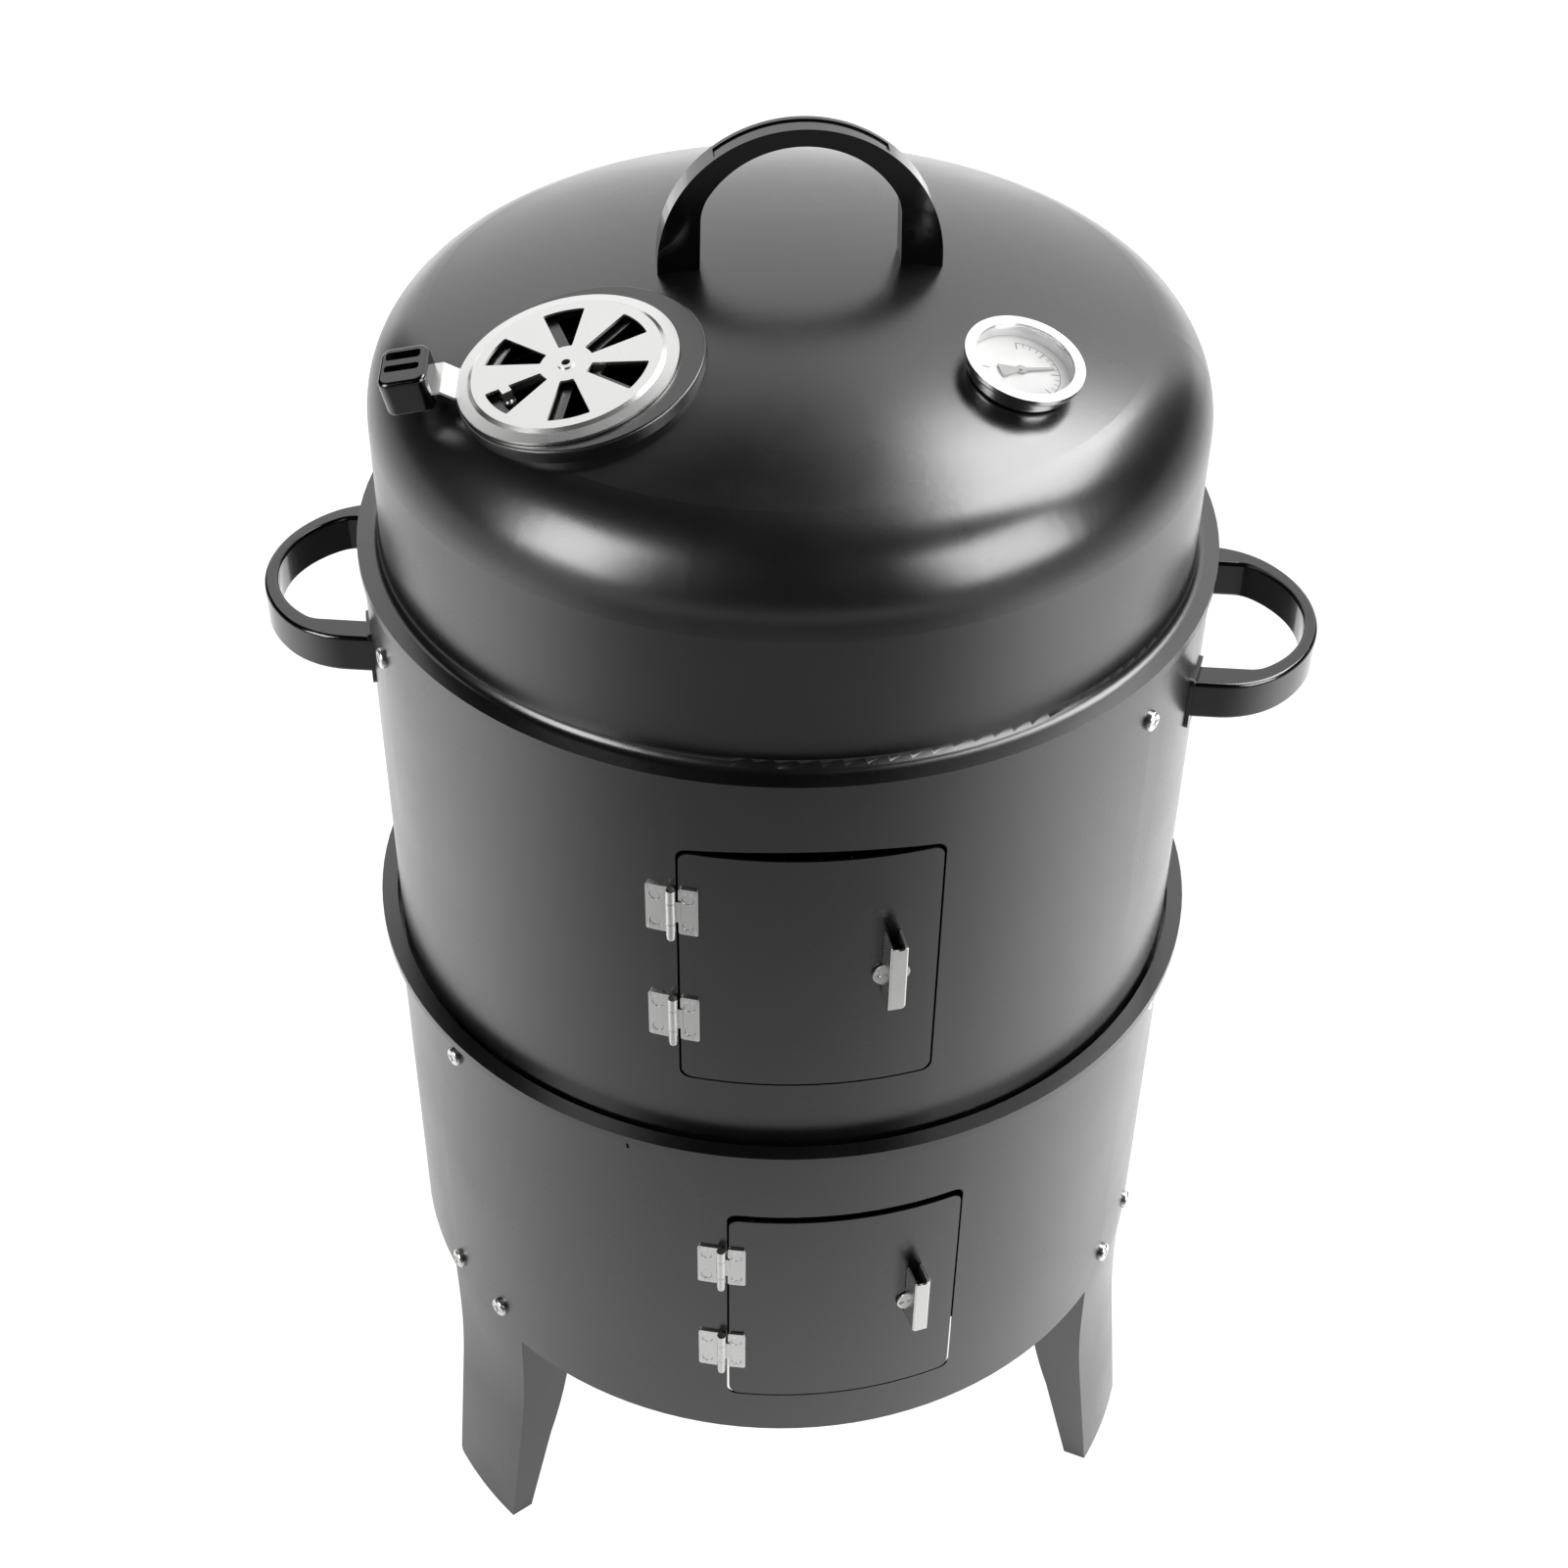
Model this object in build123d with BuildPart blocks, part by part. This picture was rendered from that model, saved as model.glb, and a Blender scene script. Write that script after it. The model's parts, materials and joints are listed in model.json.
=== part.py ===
"""Vertical water smoker: lidded barrel cooker standing on a legged fire barrel.

Millimetres. The origin is on the floor under the centre, +Z is up, -Y is the front with the doors
and +X runs through the right side handle. An azimuth is measured from the front towards +X.
"""

from build123d import *
import os
from math import asin, atan2, cos, degrees, hypot, radians, sin, sqrt

os.makedirs("parts", exist_ok=True)

# Sheet and running gaps
SHEET = 1.2
PIN_GAP = 0.06
REST_GAP = 0.1
SHANK_GAP = 0.1

# Fire barrel, the lower shell
FIRE_RADIUS = 203.1
FIRE_BOTTOM = 161.0
FIRE_TOP = 380.0
RIM_RADIUS = 209.9
RIM_DROP = 4.5

# Cooking barrel, the upper shell, which nests in the fire barrel's mouth
COOK_RADIUS = 200.0
COOK_BOTTOM = 364.2
COOK_TOP = 598.4

# Lid
HEM_RADIUS = 201.8
HEM_BOTTOM = 595.0
SKIRT_RADIUS = 190.7
SKIRT_TOP = 665.7
KNUCKLE = 45.8
CROWN = 443.0
APEX = 738.9
CROWN_CENTRE = APEX - CROWN

# Doors: centre azimuth, half width as an angle, bottom and top
COOK_DOOR = (7.25, 16.55, 420.5, 557.0)
FIRE_DOOR = (13.45, 16.35, 190.5, 326.0)
DOOR_CORNER = 5.0
DOOR_GAP = 1.0

# Hinges: leaf size, knuckle and pin
HINGE_WIDTH = 23.7
HINGE_HEIGHT = 26.5
KNUCKLE_LENGTH = 7.0
KNUCKLE_RADIUS = 2.2
PIN_RADIUS = 1.2
PIN_STANDOFF = 2.5
COOK_HINGES = (-10.1, (524.0, 458.5))
FIRE_HINGES = (-3.9, (292.5, 226.5))

# Latches: azimuth and height
COOK_LATCH = (17.6, 488.0)
FIRE_LATCH = (23.3, 257.0)
SPINDLE_RADIUS = 3.0

# Legs
LEG_AZIMUTHS = {"leg_front_left": -48.7, "leg_right": 71.3, "leg_rear": 191.3}
LEG_TOP = 200.0
LEG_SHEET = 2.0
LEG_FOOT_HALF = 28.5
LEG_SPREAD = 5.5 / 161.0
FOOT_REACH = 213.6
LEG_BOLT_ANGLE = 5.8
LEG_BOLT_HEIGHT = 178.0

# Brackets that carry the cooking barrel and bowl, and the upper grate
FIRE_BRACKETS = (-48.7, 71.3, 191.3)
COOK_BRACKETS = (-62.4, 57.6, 177.6)
BRACKET_SHEET = 1.5
BRACKET_WIDTH = 30.0
BRACKET_REACH = 170.0
FIRE_SHELF = 364.0
COOK_SHELF = 561.5

# Bowls and grates
WATER_RIM = 187.0
WATER_BODY = 168.0
CHARCOAL_RIM = 184.0
CHARCOAL_BODY = 162.0
BOWL_SHEET = 1.0
GRATE_RING = 2.5
GRATE_ROD = 1.7

# Vent on the lid
VENT = (-45.6, 122.1)
VENT_LEAN = 13.7
VENT_FACING = -51.8
SEAT_RADIUS = 53.5
DAMPER_RADIUS = 47.7
TAB_ANGLE = -41.0
SLOT_TURN = -6.0
SLOT_INNER = 11.4
SLOT_OUTER = 36.2
SLOT_HALF_ANGLE = 14.5
LID_SLOT_SHIFT = (-4.5, 2.5)
STOP_ANGLE = -13.5
STOP_REACH = 28.0

# Thermometer on the lid
THERMOMETER = (54.4, 122.5)
BEZEL_RADIUS = 26.0
CUP_RADIUS = 22.8
WINDOW_RADIUS = 21.6

# Lid handle: an arch turned a little from the side-to-side line
HANDLE_TURN = 9.6
HANDLE_SHIFT = (2.0, -8.2)
HANDLE_HALF_DEPTH = 6.5
ARCH_CENTRE = 737.6
ARCH_RADIUS = 62.0
FOOT_REACH_ALONG = 52.3

# Side handles
GRIP_BOTTOM = 534.0
GRIP_TOP = 554.0
ARM_OUTER = 57.0
ARM_INNER = 42.0
ARM_AZIMUTH = degrees(asin(49.5 / COOK_RADIUS))

ON_BASE = (Align.CENTER, Align.CENTER, Align.MIN)
HANGING = (Align.CENTER, Align.CENTER, Align.MAX)


def outward(azimuth):
    """Unit vector away from the axis."""
    return Vector(sin(radians(azimuth)), -cos(radians(azimuth)), 0)


def tangent(azimuth):
    """Unit vector along the wall, to the right as seen from outside."""
    return Vector(cos(radians(azimuth)), sin(radians(azimuth)), 0)


def wall_plane(azimuth, radius, height):
    """Plane facing outward: x along the wall, y up."""
    origin = outward(azimuth) * radius + Vector(0, 0, height)
    return Plane(origin=origin, x_dir=tangent(azimuth), z_dir=outward(azimuth))


def radial_plane(azimuth):
    """Upright plane through the axis: x outward, y up."""
    return Plane(origin=(0, 0, 0), x_dir=outward(azimuth), z_dir=tangent(azimuth) * -1)


def dome_plane(azimuth, reach, turn=0.0):
    """Plane lying on the lid's crown: x downhill, y to the right seen from outside."""
    lean = asin(reach / CROWN)
    radial = outward(azimuth)
    origin = radial * reach + Vector(0, 0, CROWN_CENTRE + sqrt(CROWN**2 - reach**2))
    normal = radial * sin(lean) + Vector(0, 0, cos(lean))
    downhill = radial * cos(lean) - Vector(0, 0, sin(lean))
    heading = downhill * cos(radians(turn)) + tangent(azimuth) * sin(radians(turn))
    return Plane(origin=origin, x_dir=heading, z_dir=normal)


def vent_plane(turn=0.0):
    """Plane of the vent's flat seat, a little flatter than the crown: x downhill before it is turned."""
    lean = radians(VENT_LEAN)
    normal = outward(VENT_FACING) * sin(lean) + Vector(0, 0, cos(lean))
    downhill = (outward(VENT[0]) - normal * outward(VENT[0]).dot(normal)).normalized()
    sideways = normal.cross(downhill)
    heading = downhill * cos(radians(turn)) + sideways * sin(radians(turn))
    return Plane(origin=dome_plane(*VENT).origin, x_dir=heading, z_dir=normal)


def arc_angle(length, radius):
    """Angle that an arc of this length spans, in degrees."""
    return degrees(length / radius)


def save(piece, name):
    """Label one piece and write it under its own name."""
    piece.part.label = name
    export_step(piece.part, f"parts/{name}.step")


def sector(inner, outer, low, high, height):
    """Flat ring sector between two azimuths."""
    with BuildSketch(Plane.XY.offset(height)) as outline:
        with BuildLine():
            far = CenterArc((0, 0), outer, low - 90, high - low)
            near = CenterArc((0, 0), inner, low - 90, high - low)
            Line(far @ 0, near @ 0)
            Line(far @ 1, near @ 1)
        make_face()
    return outline.sketch


def curved_plate(azimuth, height, inner, outer, width, tall, corner):
    """Round-cornered plate bent to the wall, centred on an azimuth and a height."""
    with BuildPart() as plate:
        with BuildSketch(wall_plane(azimuth, 0, height)):
            RectangleRounded(width, tall, corner)
        extrude(amount=outer + 5)
        Cylinder(outer, 2000, mode=Mode.INTERSECT)
        Cylinder(inner, 2000, mode=Mode.SUBTRACT)
    return plate.part


def pan_screw(head_radius, head_height, shank_radius, shank_length):
    """Screw with a domed head standing on the XY plane and its shank hanging below."""
    with BuildPart() as screw:
        Cylinder(head_radius, head_height, align=ON_BASE)
        fillet(screw.faces().sort_by(Axis.Z)[-1].edges(), head_height * 0.6)
        with Locations((0, 0, head_height)):
            Box(head_radius * 1.1, 0.9, 1.6, mode=Mode.SUBTRACT)
            Box(0.9, head_radius * 1.1, 1.6, mode=Mode.SUBTRACT)
        Cylinder(shank_radius, shank_length, align=HANGING)
    return screw.part


def hex_nut(half_width, thick, hole):
    """Nut hanging below the XY plane."""
    with BuildPart() as nut:
        with BuildSketch():
            RegularPolygon(half_width, 6, major_radius=False)
            Circle(hole, mode=Mode.SUBTRACT)
        extrude(amount=-thick)
    return nut.part


def rivet(head_radius, head_height, shank_radius, grip, set_radius, set_height):
    """Flat-headed rivet on the XY plane, closed below a grip length."""
    with BuildPart() as pin:
        Cylinder(head_radius, head_height, align=ON_BASE)
        Cylinder(shank_radius, grip + set_height, align=HANGING)
        with Locations((0, 0, -grip)):
            Cylinder(set_radius, set_height, align=HANGING)
    return pin.part


def group(shape, places):
    """Copies of one fastener, each its own solid."""
    with BuildPart() as copies:
        with Locations(*places):
            add(shape)
    return copies


# ---------------------------------------------------------------- fire barrel


def opening(azimuth, half_angle, bottom, top, radius, rise_ends, rise_middle):
    """Solid that cuts a door's opening, with a top edge that may arch."""
    half = radius * sin(radians(half_angle)) + DOOR_GAP
    with BuildPart() as cutter:
        with BuildSketch(wall_plane(azimuth, 0, 0)) as outline:
            with BuildLine():
                Line((-half, bottom - DOOR_GAP), (half, bottom - DOOR_GAP))
                Line((half, bottom - DOOR_GAP), (half, top + rise_ends))
                Line((-half, bottom - DOOR_GAP), (-half, top + rise_ends))
                if rise_middle > rise_ends:
                    ThreePointArc((-half, top + rise_ends), (0, top + rise_middle), (half, top + rise_ends))
                else:
                    Line((-half, top + rise_ends), (half, top + rise_ends))
            make_face()
            fillet(outline.vertices(), DOOR_CORNER)
        extrude(amount=radius + 5)
    return cutter.part


def hole_row(places, radius, depth):
    """Round cutters centred on the given planes."""
    with BuildPart() as cutters:
        with Locations(*places):
            Cylinder(radius, depth)
    return cutters.part


def leg_bolt_planes(radius):
    """Planes of the six leg bolts, facing outward."""
    turns = [azimuth + side * LEG_BOLT_ANGLE for azimuth in LEG_AZIMUTHS.values() for side in (-1, 1)]
    return [wall_plane(turn, radius, LEG_BOLT_HEIGHT) for turn in turns]


def bracket_screw_planes(azimuths, radius, height):
    """Planes of three bracket screws, facing outward."""
    return [wall_plane(azimuth, radius, height) for azimuth in azimuths]


def leaf_hole_planes(hinges, radius, side):
    """Planes of the rivets in one side's hinge leaves, facing outward."""
    azimuth, heights = hinges
    turn = azimuth + side * arc_angle(7.4, radius)
    return [wall_plane(turn, radius, height + step) for height in heights for step in (-7.6, 7.6)]


def make_fire_barrel():
    """Open-ended lower shell with a down-turned rim, a door opening and an open seam corner."""
    inner = FIRE_RADIUS - SHEET
    with BuildPart() as barrel:
        with BuildSketch(Plane.XZ) as profile:
            with BuildLine():
                Polyline(
                    (inner, FIRE_BOTTOM),
                    (inner, FIRE_TOP),
                    (RIM_RADIUS, FIRE_TOP),
                    (RIM_RADIUS, FIRE_TOP - RIM_DROP),
                    (RIM_RADIUS - SHEET, FIRE_TOP - RIM_DROP),
                    (RIM_RADIUS - SHEET, FIRE_TOP - SHEET),
                    (FIRE_RADIUS, FIRE_TOP - SHEET),
                    (FIRE_RADIUS, FIRE_BOTTOM),
                    close=True,
                )
            make_face()
            bends = profile.vertices().filter_by(lambda v: v.Z > FIRE_TOP - SHEET - 0.1)
            fillet(bends.sort_by(Axis.Z)[-2:], 2.0)
            bends = profile.vertices().filter_by(lambda v: abs(v.Z - FIRE_TOP + SHEET) < 0.01)
            fillet(bends, 0.9)
        revolve(axis=Axis.Z)
        azimuth, half_angle, bottom, top = FIRE_DOOR
        add(opening(azimuth, half_angle, bottom, top, FIRE_RADIUS, 4.5, 4.5), mode=Mode.SUBTRACT)
        add(hole_row(leg_bolt_planes(FIRE_RADIUS), 3.0 + SHANK_GAP, 12), mode=Mode.SUBTRACT)
        places = bracket_screw_planes(FIRE_BRACKETS, FIRE_RADIUS, 355.6)
        add(hole_row(places, 2.5 + SHANK_GAP, 12), mode=Mode.SUBTRACT)
        places = leaf_hole_planes(FIRE_HINGES, FIRE_RADIUS, -1)
        add(hole_row(places, 1.4 + SHANK_GAP, 12), mode=Mode.SUBTRACT)
        with BuildSketch(wall_plane(-20.2, 150, 369.2)):
            with BuildLine():
                FilletPolyline((-11.5, 0), (11.5, 0), (11.5, -5.2), radius=4.0)
            trace(line_width=1.3)
        extrude(amount=60, mode=Mode.SUBTRACT)
    save(barrel, "fire_barrel")


def leg_profile(shift):
    """Side view of a leg: outer edge leaning out below the barrel, inner edge following."""
    inner = FIRE_RADIUS - SHEET
    with BuildLine() as lines:
        Line((inner + shift, LEG_TOP), (inner + shift, 128))
        TangentArc((inner + shift, 128), (204.6 + shift, 80), tangent=(0, -1))
        Line((204.6 + shift, 80), (FOOT_REACH + shift, 0))
    return lines.line


def make_leg(name, azimuth):
    """Tapered channel bent from one sheet, its web bent to the barrel."""
    spread = 14.0
    with BuildPart() as pocket:
        with BuildSketch(radial_plane(azimuth - spread)):
            with BuildLine():
                add(leg_profile(-LEG_SHEET))
                outer_x, inner_x = FIRE_RADIUS - SHEET - LEG_SHEET, 120
                foot_x = FOOT_REACH - LEG_SHEET
                Polyline((foot_x, 0), (foot_x, -5), (inner_x, -5), (inner_x, LEG_TOP + 5))
                Polyline((inner_x, LEG_TOP + 5), (outer_x, LEG_TOP + 5), (outer_x, LEG_TOP))
            make_face()
        revolve(axis=Axis.Z, revolution_arc=2 * spread)
        with BuildSketch(wall_plane(azimuth, 0, 0)):
            low = LEG_FOOT_HALF - LEG_SHEET - 10 * LEG_SPREAD
            high = LEG_FOOT_HALF - LEG_SHEET + (LEG_TOP + 10) * LEG_SPREAD
            Polygon((-low, -10), (low, -10), (high, LEG_TOP + 10), (-high, LEG_TOP + 10), align=None)
        extrude(amount=300, mode=Mode.INTERSECT)
    with BuildPart() as leg:
        with BuildSketch(radial_plane(azimuth - spread)):
            with BuildLine():
                add(leg_profile(0))
                Polyline((FOOT_REACH, 0), (FOOT_REACH - 12.5, 0), (186, 60))
                ThreePointArc((186, 60), (177.6, 90), (172, 122))
                Polyline((172, 122), (172, LEG_TOP), (FIRE_RADIUS - SHEET, LEG_TOP))
            make_face()
        revolve(axis=Axis.Z, revolution_arc=2 * spread)
        with BuildSketch(wall_plane(azimuth, 0, 0)) as front:
            high = LEG_FOOT_HALF + LEG_TOP * LEG_SPREAD
            Polygon((-LEG_FOOT_HALF, 0), (LEG_FOOT_HALF, 0), (high, LEG_TOP), (-high, LEG_TOP), align=None)
            fillet(front.vertices().sort_by(Axis.Z)[:2], 3.5)
        extrude(amount=300, mode=Mode.INTERSECT)
        add(pocket.part, mode=Mode.SUBTRACT)
        add(hole_row(leg_bolt_planes(FIRE_RADIUS), 3.0 + SHANK_GAP, 16), mode=Mode.SUBTRACT)
    save(leg, name)


def make_leg_fasteners():
    """Bolts through barrel and leg, nuts inside."""
    save(group(pan_screw(5.2, 3.0, 3.0, 10.0), leg_bolt_planes(FIRE_RADIUS)), "leg_bolts")
    inside = FIRE_RADIUS - SHEET - LEG_SHEET - 0.12
    save(group(hex_nut(5.0, 4.0, 3.0), leg_bolt_planes(inside)), "leg_nuts")


def bracket(azimuth, wall, shelf, flap_end, hole_height):
    """Bent bracket: a flap on the wall and a shelf reaching inward."""
    half = arc_angle(BRACKET_WIDTH / 2, wall)
    low, high = sorted((shelf, flap_end))
    with BuildPart() as piece:
        plate = sector(BRACKET_REACH, wall, azimuth - half, azimuth + half, shelf - BRACKET_SHEET)
        extrude(plate, amount=BRACKET_SHEET)
        extrude(sector(wall - BRACKET_SHEET, wall, azimuth - half, azimuth + half, low), amount=high - low)
        with Locations(wall_plane(azimuth, wall, hole_height)):
            Cylinder(2.5 + SHANK_GAP, 12, mode=Mode.SUBTRACT)
    return piece.part


def make_brackets(name, azimuths, wall, shelf, flap_end, hole_height):
    """Three alike brackets with a screw and a nut each."""
    with BuildPart() as pieces:
        for azimuth in azimuths:
            add(bracket(azimuth, wall, shelf, flap_end, hole_height))
    save(pieces, f"{name}_brackets")
    outside = bracket_screw_planes(azimuths, wall + SHEET, hole_height)
    save(group(pan_screw(4.8, 2.6, 2.5, 8.0), outside), f"{name}_bracket_screws")
    inside = bracket_screw_planes(azimuths, wall - BRACKET_SHEET - 0.1, hole_height)
    save(group(hex_nut(4.4, 3.4, 2.5), inside), f"{name}_bracket_nuts")


# ---------------------------------------------------------------- doors, hinges and latches


def knuckle_tube(azimuth, radius, bottom, length):
    """Rolled knuckle about the hinge pin, still without its bore."""
    with Locations(wall_plane(azimuth, radius + PIN_STANDOFF, bottom).origin):
        Cylinder(KNUCKLE_RADIUS, length, align=ON_BASE)


def wall_leaf(azimuth, radius, height):
    """Leaf riveted to the wall, with a knuckle at each end."""
    bottom = height - HINGE_HEIGHT / 2
    top = height + HINGE_HEIGHT / 2
    width = HINGE_WIDTH / 2 - 2.5
    centre = azimuth - arc_angle(2.5 + width / 2, radius)
    neck_low = azimuth - arc_angle(3.5, radius)
    neck_high = azimuth - arc_angle(0.2, radius)
    with BuildPart() as leaf:
        add(curved_plate(centre, height, radius, radius + SHEET, width, HINGE_HEIGHT, 1.2))
        for end in (bottom, top - KNUCKLE_LENGTH):
            neck = sector(radius, radius + SHEET, neck_low, neck_high, end)
            extrude(neck, amount=KNUCKLE_LENGTH)
            knuckle_tube(azimuth, radius, end, KNUCKLE_LENGTH)
        with Locations(wall_plane(azimuth, radius + PIN_STANDOFF, height).origin):
            Cylinder(PIN_RADIUS + PIN_GAP, 60, mode=Mode.SUBTRACT)
    return leaf.part


def door_leaf(azimuth, radius, height):
    """Leaf riveted to the door, with one middle knuckle on a raised neck."""
    length = HINGE_HEIGHT - 2 * KNUCKLE_LENGTH - 0.6
    bottom = height - length / 2
    width = HINGE_WIDTH / 2 - 3.0
    centre = azimuth + arc_angle(3.0 + width / 2, radius)
    neck_low = azimuth + arc_angle(0.2, radius)
    neck_high = azimuth + arc_angle(4.2, radius)
    with BuildPart() as leaf:
        add(curved_plate(centre, height, radius, radius + SHEET, width, HINGE_HEIGHT, 1.2))
        extrude(sector(radius + 0.6, radius + 0.6 + SHEET, neck_low, neck_high, bottom), amount=length)
        knuckle_tube(azimuth, radius, bottom, length)
        with Locations(wall_plane(azimuth, radius + PIN_STANDOFF, height).origin):
            Cylinder(PIN_RADIUS + PIN_GAP, 60, mode=Mode.SUBTRACT)
    return leaf.part


def leaf_set(shape, hinges, radius, side):
    """Both leaves of one side, drilled and sunk for their rivets."""
    azimuth, heights = hinges
    places = leaf_hole_planes(hinges, radius, side)
    with BuildPart() as leaves:
        for height in heights:
            add(shape(azimuth, radius, height))
        with Locations(*places):
            Cylinder(1.4 + SHANK_GAP, 12, mode=Mode.SUBTRACT)
        with Locations(*[place.offset(0.4) for place in places]):
            Cylinder(2.7, 5, align=ON_BASE, mode=Mode.SUBTRACT)
    return leaves


def make_hinges(name, hinges, radius):
    """Two hinges: leaves, pins with a rounded end below, and rivets."""
    azimuth, heights = hinges
    save(leaf_set(wall_leaf, hinges, radius, -1), f"{name}_hinge_wall_leaves")
    save(leaf_set(door_leaf, hinges, radius, 1), f"{name}_hinge_door_leaves")
    with BuildPart() as pin:
        Cylinder(PIN_RADIUS, HINGE_HEIGHT, align=ON_BASE)
        Cylinder(2.0, 3.0, align=HANGING)
        fillet(pin.faces().sort_by(Axis.Z)[0].edges(), 1.5)
    feet = [wall_plane(azimuth, radius + PIN_STANDOFF, h - HINGE_HEIGHT / 2).origin for h in heights]
    save(group(pin.part, feet), f"{name}_hinge_pins")
    shape = rivet(2.5, 0.6, 1.4, 0.4 + SHEET + 0.05, 2.6, 1.2)
    for side, owner in ((-1, "wall"), (1, "door")):
        places = [place.offset(0.4) for place in leaf_hole_planes(hinges, radius, side)]
        save(group(shape, places), f"{name}_hinge_{owner}_rivets")


def make_door(name, door, radius, hinges, latch):
    """Door panel bent to the wall."""
    azimuth, half_angle, bottom, top = door
    width = 2 * radius * sin(radians(half_angle))
    middle = (bottom + top) / 2
    latch_azimuth, latch_height = latch
    with BuildPart() as panel:
        add(curved_plate(azimuth, middle, radius - SHEET, radius, width, top - bottom, DOOR_CORNER))
        with Locations(*leaf_hole_planes(hinges, radius, 1)):
            Cylinder(1.4 + SHANK_GAP, 12, mode=Mode.SUBTRACT)
        with Locations(wall_plane(latch_azimuth, radius, latch_height)):
            Cylinder(SPINDLE_RADIUS + PIN_GAP, 12, mode=Mode.SUBTRACT)
    save(panel, f"{name}_door")


def make_latch(name, latch, radius):
    """Turn latch: folded thumb lever, spindle through the door, tongue and nut inside."""
    azimuth, height = latch
    front = wall_plane(azimuth, radius + 0.4, height)
    with BuildPart() as lever:
        with BuildSketch(front) as outline:
            with Locations((0, 7)):
                Rectangle(8, 38)
            fillet(outline.vertices().sort_by(Axis.Z)[:2], 2.2)
        extrude(amount=12)
        fillet(lever.faces().sort_by(Axis(front.origin, front.z_dir))[-1].edges(), 0.9)
        with BuildSketch(front):
            with Locations((0, 9.5)):
                Rectangle(5.6, 40.6)
        extrude(amount=10.8, mode=Mode.SUBTRACT)
        with BuildSketch(front):
            with Locations((0, 28.2)):
                Circle(4.4)
        extrude(amount=13, mode=Mode.SUBTRACT)
        with BuildSketch(front):
            Ellipse(8.5, 6.6)
        extrude(amount=SHEET)
        inner = front.offset(SHEET)
        with Locations(inner.shift_origin(inner.from_local_coords((-6.1, 0, 0)))):
            Cylinder(1.4, 1.0, mode=Mode.SUBTRACT)
    save(lever, f"{name}_latch_lever")
    with BuildPart() as spindle:
        with Locations(front):
            Cylinder(SPINDLE_RADIUS, 10.0, align=HANGING)
        with Locations(front.offset(-2.0)):
            Cylinder(4.5, 2.9, align=HANGING)
    save(spindle, f"{name}_latch_spindle")
    with BuildPart() as tongue:
        with BuildSketch(front.offset(-4.9)):
            with Locations((0, 12)):
                RectangleRounded(12, 36, 4)
            Circle(SPINDLE_RADIUS, mode=Mode.SUBTRACT)
        extrude(amount=-2.0)
    save(tongue, f"{name}_latch_tongue")
    save(group(hex_nut(5.0, 2.4, SPINDLE_RADIUS), [front.offset(-6.9)]), f"{name}_latch_nut")


# ---------------------------------------------------------------- cooking barrel


def arm_planes(side, radius):
    """Planes where one handle's two arms meet the wall, facing outward."""
    middle = (GRIP_BOTTOM + GRIP_TOP) / 2
    return [wall_plane(side * 90 + turn, radius, middle) for turn in (-ARM_AZIMUTH, ARM_AZIMUTH)]


def make_cook_barrel():
    """Open-ended upper shell with a door opening arched along its top."""
    with BuildPart() as barrel:
        with BuildSketch(Plane.XY.offset(COOK_BOTTOM)):
            Circle(COOK_RADIUS)
            Circle(COOK_RADIUS - SHEET, mode=Mode.SUBTRACT)
        extrude(amount=COOK_TOP - COOK_BOTTOM)
        azimuth, half_angle, bottom, top = COOK_DOOR
        add(opening(azimuth, half_angle, bottom, top, COOK_RADIUS, 1.5, 5.6), mode=Mode.SUBTRACT)
        places = bracket_screw_planes(COOK_BRACKETS, COOK_RADIUS, 571.0)
        add(hole_row(places, 2.5 + SHANK_GAP, 12), mode=Mode.SUBTRACT)
        places = leaf_hole_planes(COOK_HINGES, COOK_RADIUS, -1)
        add(hole_row(places, 1.4 + SHANK_GAP, 12), mode=Mode.SUBTRACT)
        add(hole_row(arm_planes(-1, COOK_RADIUS) + arm_planes(1, COOK_RADIUS), 2.1, 12), mode=Mode.SUBTRACT)
    save(barrel, "cook_barrel")


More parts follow.
